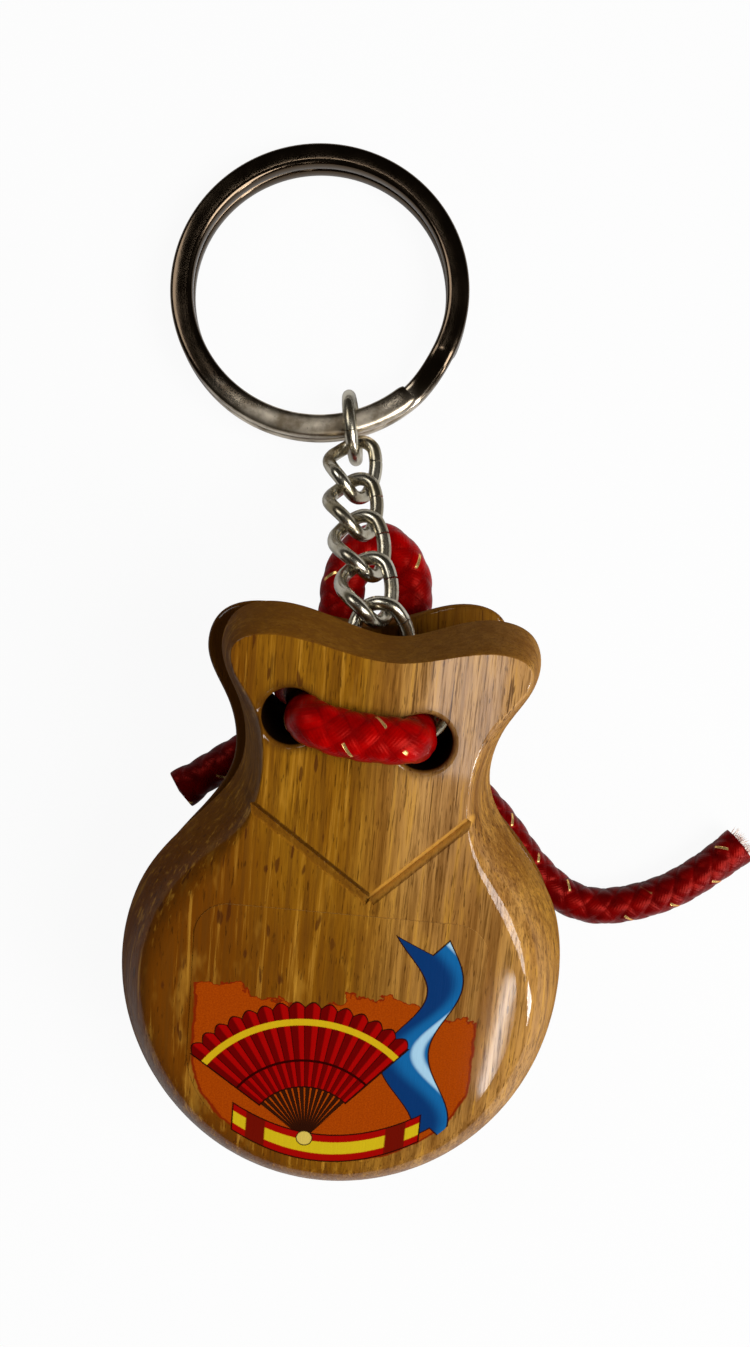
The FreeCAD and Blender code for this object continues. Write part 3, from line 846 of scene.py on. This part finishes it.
def wood_grain(net, spot, shell, tones):
    """Colour, roughness, height, lacquer and levelness of the wood at a point in the shell's frame."""
    dark, plain, pale, grain_light_and_glints = (shade(tone) for tone in tones)
    x, y, z = net.split(spot)
    z = abs(z)
    direction = net.coordinates("Normal")
    level = net.along(direction, shell.spin @ UP)
    end_grain = net.along(direction, shell.spin @ Vector((0, 1, 0)))
    wander = net.noise(spot, (0.07, 0.03, 0.07), 2)
    bands = net.noise(spot, (0.42, 0.022, 0.42), 3, 0.55, 0.6)
    streaks = net.noise(spot, (2.1, 0.075, 2.1), 4, 0.68, 0.25)
    hair = net.noise(spot, (7.5, 0.3, 7.5), 3, 0.7)
    pores = net.noise(spot, (6.5, 0.75, 6.5), 2, 0.5)
    flecks = net.noise(spot, (1.9, 0.42, 1.9), 1, 0.4)
    mottle = net.noise(spot, (0.5, 0.16, 0.5), 3, 0.6)
    cracks = net.noise(spot, (3.6, 0.11, 3.6), 1)
    # Tone of the plank, random in places: darker low and left as painted shade, paler towards the right as
    # a painted sheen
    side = (x * 0.05 + y.rise(18.0, 34.0) * 0.36 + wander * 0.9 + mottle * 0.5 - 0.72).rise(-0.55, 0.6)
    painted_sheen = (x + (wander - 0.5) * 14).rise(1.0, 11.0) * (0.45 + y.rise(24.0, 34.0) * 0.5)
    colour = net.mix(side, dark, plain)
    # painted sheen: a paler tone towards the right, strongest on the level face
    colour = net.mix(painted_sheen * (0.35 + level.rise(0.2, 0.8) * 0.65), colour, pale)
    # Grain along it, from the widest marks to the finest
    colour = net.mix(bands.rise(0.36, 0.7) * 0.55, colour, dark)
    colour = net.mix(streaks.rise(0.44, 0.66) * 0.6, colour, shade("#54300a"))
    colour = net.mix(streaks.rise(0.47, 0.3) * 0.5, colour, grain_light_and_glints)
    # painted glints: soft light spots in the grain
    colour = net.mix(mottle.rise(0.55, 0.75) * 0.3, colour, grain_light_and_glints)
    open_grain = x.rise(-9.0, 4.0).most(y.rise(26.0, 32.0)) * 0.5 + 0.12
    colour = net.mix(hair.rise(0.5, 0.66) * open_grain, colour, shade("#422405"))
    colour = net.mix(pores.rise(0.62, 0.7) * 0.6, colour, shade("#321803"))
    cracks = cracks.rise(0.655, 0.69) * y.rise(26.0, 30.0) * x.rise(0.5, 4.0)
    colour = net.mix(cracks * 0.75, colour, shade("#3a1c05"))
    colour = net.mix(flecks.rise(0.68, 0.74) * (1 - x.rise(-3.0, 4.0)) * 0.75, colour, shade("#3f1d08"))
    colour = net.mix(end_grain.rise(0.45, 0.95) * 0.6, colour, shade("#7c4c12"))
    # Scorched holes with painted shade inside them, and the carved V with painted shade and highlight
    near = distance(x, y, LEFT_HOLE).least(distance(x, y, RIGHT_HOLE)) + (hair - 0.5) * 0.35
    colour = net.mix(near.rise(HOLE_RADIUS + 0.7, HOLE_RADIUS - 0.1) * 0.6, colour, shade("#3b1f08"))
    inside = z.rise(SHELL_THICKNESS - 0.16, SHELL_THICKNESS - 0.5)
    scorch_and_hole_shade = near.rise(HOLE_RADIUS + 0.3, HOLE_RADIUS) * inside
    # scorch and painted shade: the holes' inner walls are painted near black
    colour = net.mix(scorch_and_hole_shade, colour, shade("#120702"))
    left_arm, right_arm = (line_distance(x, y, GROOVE_TIP, end) for end in GROOVE_ENDS)
    groove = left_arm.least(right_arm).rise(0.5, 0.2)
    groove = groove * z.rise(SHELL_THICKNESS - 0.02, SHELL_THICKNESS - 0.2)
    # painted shade in the V's left arm and a painted highlight in its right arm
    groove_shade_and_highlight = net.mix(x.rise(1.0, 2.4), shade("#4a2a08"), shade("#c8923a"))
    colour = net.mix(groove * 0.5, colour, groove_shade_and_highlight)
    # Surface
    rough = 0.24 + bands * 0.1 + hair * 0.08 + end_grain * 0.1 + scorch_and_hole_shade * 0.4
    rough = rough + (1 - level.rise(0.1, 0.7)) * 0.35
    height = streaks * 0.5 - cracks * 0.8 + hair * 0.6 * x.rise(-8.0, 8.0) + pores * 0.25 + bands * 1.4
    lacquer = (1 - scorch_and_hole_shade) * level.rise(0.35, 0.95) * (0.75 - hair.rise(0.45, 0.62) * 0.35)
    return colour, rough, height, lacquer, level


WOOD_COAT = {"Coat Roughness": 0.05, "Coat IOR": 1.5, "Specular IOR Level": 0.03,
             "Specular Tint": (1.0, 0.6, 0.25, 1)}


def lacquered(net, colour, rough, height, coat, relief):
    surface(net, {"Base Color": colour, "Roughness": rough, "Coat Weight": coat,
                  "Normal": net.bump(height, relief, 0.12 * MM), **WOOD_COAT})


def lacquered_wood(name, shell, tones):
    material, net = new_finish(name)
    colour, rough, height, coat, _ = wood_grain(net, shell_place(net, shell), shell, tones)
    lacquered(net, colour, rough, height, coat, 0.35)
    return material


def dress(node, material):
    """Gives a node of the model its finish."""
    slots = frame["nodes"][node].material_slots
    if slots:
        slots[0].material = material
    else:
        frame["nodes"][node].data.materials.append(material)


# tones: dark (also the painted shade), plain, the painted sheen's pale tone, and light grain with painted
# glints
FRONT_TONES = ("#603203", "#8e6111", "#b88d58", "#b8862e")
# the rear's tones are the same wood painted darker, as painted shade where it lies under the front shell
SHADED_REAR_TONES = ("#4a2603", "#5f3806", "#744c12", "#744c12")
dress("front_shell", lacquered_wood("lacquered wood front", front, FRONT_TONES))
dress("rear_shell", lacquered_wood("lacquered wood rear", rear, SHADED_REAR_TONES))

# %% [markdown]
# ## The printed transfer
# Souvenir shells carry a bright transfer under the lacquer. This one is a plain design of its own: an
# open pleated fan on an orange ground, with a wavy blue ribbon and a striped band below. Each shape is
# worked out from distances in millimetres, so its edge and its dark outline stay sharp at any size.
# Where nothing is printed the clear film shows the same wood as the shell under it. The film's thin
# edge is painted paler, a painted light that cancels the shade that would draw a dark line on the wood.

# %% Transfer design
def ink(net, colour, inside, tone, outline="#1c0502", width=0.11):
    """A printed shape with a dark outline. inside is the distance in from its edge."""
    colour = net.mix(inside.rise(-width * 1.35, -width * 0.65), colour, shade(outline))
    return net.mix(inside.rise(-0.05, 0.05), colour, tone)


def orange_ground(net, spot, x, y, colour):
    """An oval that is brushed off unevenly along its top."""
    wobble = net.noise(spot, (0.9, 0.9, 0.9), 3) - 0.5
    grain = net.noise(spot, (9.0, 9.0, 9.0), 2)
    oval = (1 - ((x / 10.6) ** 2 + ((y - 12.4).least(0.0) / 8.3) ** 2) ** 0.5) * 8.0
    top = 17.6 + wobble * 3.0 + (x * 0.55).sine() * 0.7 - y
    ground = oval.least(top) - 0.35 + wobble * 0.5
    orange = net.mix(grain.rise(0.3, 0.75), shade("#843001"), shade("#963c02"))
    return ink(net, colour, ground, orange, "#6e1c02", 0.16)


def blue_ribbon(net, x, y, colour):
    """A wavy ribbon on the right, with its ends cut to swallow tails."""
    wave, bottom, top = 0.56, 7.0, 22.8
    centre = 6.5 + ((y - 5.0) * wave).sine() * 1.2
    flare = 1.45 + (y * wave + 1.2).sine() * 0.4
    ribbon = flare - abs(x - centre)
    notch = (abs(x - centre) - flare) * 0.7
    ribbon = ribbon.least(y - bottom + notch).least(top - y + notch)
    fold = ((x - centre) / flare * 1.4 + (y * wave).sine() * 0.8).sine()
    blue = net.mix(fold.rise(-0.6, 0.7), shade("#062c5c"), shade("#0e5488"))
    blue = net.mix(fold.rise(0.86, 0.99), blue, shade("#8fb3c8"))
    return ink(net, colour, ribbon, blue)


FAN_PIVOT = (-1.5, 6.0)


def pleated_fan(net, x, y, colour):
    """A leaf of pleats with a yellow border, on thin sticks that meet at the pivot."""
    pleats, pleat, first = 15, math.radians(96 / 15), math.radians(49)
    leaf_start, leaf_end = 4.3, 10.6
    dx, dy = x - FAN_PIVOT[0], y - FAN_PIVOT[1]
    reach = (dx * dx + dy * dy) ** 0.5
    angle = dy.math("ARCTAN2", dx)
    count = (angle - first) / pleat
    within = (angle - first).least(first + pleat * pleats - angle) * reach
    part = count - count.floor()
    scallop = (part * math.pi).sine() * 0.45
    leaf = (leaf_end + scallop - reach).least(reach - leaf_start).least(within)
    red = net.mix(part.rise(0.42, 0.58), shade("#8e0202"), shade("#5a0001"))
    red = net.mix(part.rise(0.12, 0.02), red, shade("#2a0000"))
    red = net.mix(abs(reach - 9.5).rise(0.3, 0.22), red, shade("#b49410"))
    red = net.mix(abs(reach - 6.4).rise(0.13, 0.07), red, shade("#2a0000"))
    sticks = (0.26 - abs(part - 0.5)) * pleat * reach
    sticks = sticks.least(reach - 0.3).least(leaf_start + 0.2 - reach).least(within)
    colour = ink(net, colour, sticks, shade("#2b0f04"), width=0.04)
    return ink(net, colour, leaf, red)


def striped_band(net, x, y, colour):
    """A curved band below, red at its edges and yellow along its middle."""
    off = abs(y - (5.3 + (x + 0.3) ** 2 * 0.045))
    band = (1.05 - off).least(6.9 - abs(x))
    stripes = net.mix(off.rise(0.55, 0.45), shade("#8a0402"), shade("#b39a12"))
    stripes = net.mix(abs(abs(x) - 5.2).rise(0.8, 0.65), stripes, shade("#5e0a02"))
    return ink(net, colour, band, stripes)


def printed_design(net, spot, colour):
    x, y, _ = net.split(spot)
    colour = orange_ground(net, spot, x, y, colour)
    for shape in (blue_ribbon, pleated_fan, striped_band):
        colour = shape(net, x, y, colour)
    rivet = 0.55 - distance(x, y, FAN_PIVOT)
    return ink(net, colour, rivet, shade("#b9a24a"), width=0.08)


def transfer_film(shell, tones):
    material, net = new_finish("printed transfer")
    spot = shell_place(net, shell)
    colour, rough, height, coat, level = wood_grain(net, spot, shell, tones)
    colour = printed_design(net, spot, colour)
    # painted light on the film's edge, to cancel the shade there
    colour = net.mix((1 - level.rise(0.3, 0.8)) * 0.5, colour, shade("#e0b468"))
    lacquered(net, colour, rough, height, coat, 0.25)
    return material


dress("front_film", transfer_film(front, FRONT_TONES))
print("transfer:", len(frame["nodes"]["front_film"].material_slots[0].material.node_tree.nodes), "nodes")

# %% [markdown]
# ## Table, light and background
# The set lies on a pale table. A large soft lamp stands low on the right and a weak one on the left,
# and a window on the right lights the sides that face it. Three small lights are there for what they
# leave on gloss: a far window draws the long streak on the bowl, a pale screen the sheen beside the
# lacing, and a card under the ceiling the glints on the ring. Polished metal looks like metal only
# where it mirrors something darker, so the room is dim to it, and pale only to the camera. The table is
# mostly its own plain white to the camera and lit for the rest, so that it keeps a soft shadow. It is
# dim in mirrors, so that the lacquered sides of the shells stay brown.

# %% Table
def table_finish():
    material, net = new_finish("pale table")
    ray = net.add("ShaderNodeLightPath")
    mirrored = ray.other("Is Glossy Ray").most(ray.other("Is Transmission Ray"))
    own_white = ray * 0.94 + mirrored * 0.12
    lit = net.add("ShaderNodeBsdfDiffuse", {}, {"Color": (0.55, 0.55, 0.55, 1)})
    white = net.add("ShaderNodeEmission", {}, {"Color": (1, 1, 1, 1), "Strength": 1.0})
    mixed = net.add("ShaderNodeMixShader", {}, {0: own_white, 1: lit, 2: white})
    net.add("ShaderNodeOutputMaterial", {}, {"Surface": mixed})
    return material


TABLE_HALF, TABLE_DROP = 500 * MM, 0.02 * MM    # just below the set, so that no faces coincide
corners = [(x * TABLE_HALF, y * TABLE_HALF, -TABLE_DROP) for x, y in ((-1, -1), (1, -1), (1, 1), (-1, 1))]
table = add_object("table", smooth_mesh("table", corners, [(0, 1, 2, 3)]))
table.data.materials.append(table_finish())


# %% Lamps and room
def lamp(name, place, aim, width, depth, power, roll=0.0):
    """A flat lamp that faces its aim, in metres and watts, rolled about its beam by so many degrees."""
    data = bpy.data.lights.new(name, "AREA")
    data.shape, data.size, data.size_y = "RECTANGLE", width, depth
    data.energy = power
    light = add_object(name, data)
    light.location = place
    facing = (Vector(aim) - Vector(place)).to_track_quat("-Z", "Y").to_matrix()
    light.rotation_euler = (facing @ Matrix.Rotation(math.radians(roll), 3, "Z")).to_euler()


lamp("key lamp", (0.22, -0.09, 0.31), (0, 0, 0), 0.24, 0.24, 2.05)
lamp("fill lamp", (-0.2, 0.16, 0.28), (0, 0, 0), 0.16, 0.16, 0.3)
lamp("window", (0.24, -0.2, 0.12), (0.01, -0.01, 0.02), 0.04, 0.08, 0.3)
lamp("far window", (0.0248, -0.2329, 0.2381), (0.0116, -0.029, 0.0184), 0.0032, 0.033, 0.0065, -17)
lamp("pale screen", (0.0147, -0.1545, 0.2845), (0.0088, -0.0049, 0.0245), 0.02, 0.04, 0.011, -10)
lamp("ceiling card", (-0.025, 0.16, 0.45), (0, 0.02, 0), 0.05, 0.025, 0.03)
world = bpy.data.worlds.new("room")
bpy.context.scene.world = world
world.use_nodes = True
room = Net(world.node_tree)
dim = room.add("ShaderNodeBackground", {}, {"Color": (1, 0.86, 0.66, 1), "Strength": 0.025})
pale = room.add("ShaderNodeBackground", {}, {"Color": (1, 1, 1, 1), "Strength": 0.95})
seen = room.add("ShaderNodeLightPath")
mixed = room.add("ShaderNodeMixShader", {}, {0: seen, 1: dim, 2: pale})
room.add("ShaderNodeOutputWorld", {}, {"Surface": mixed})
bpy.context.scene.view_settings.view_transform = "Standard"
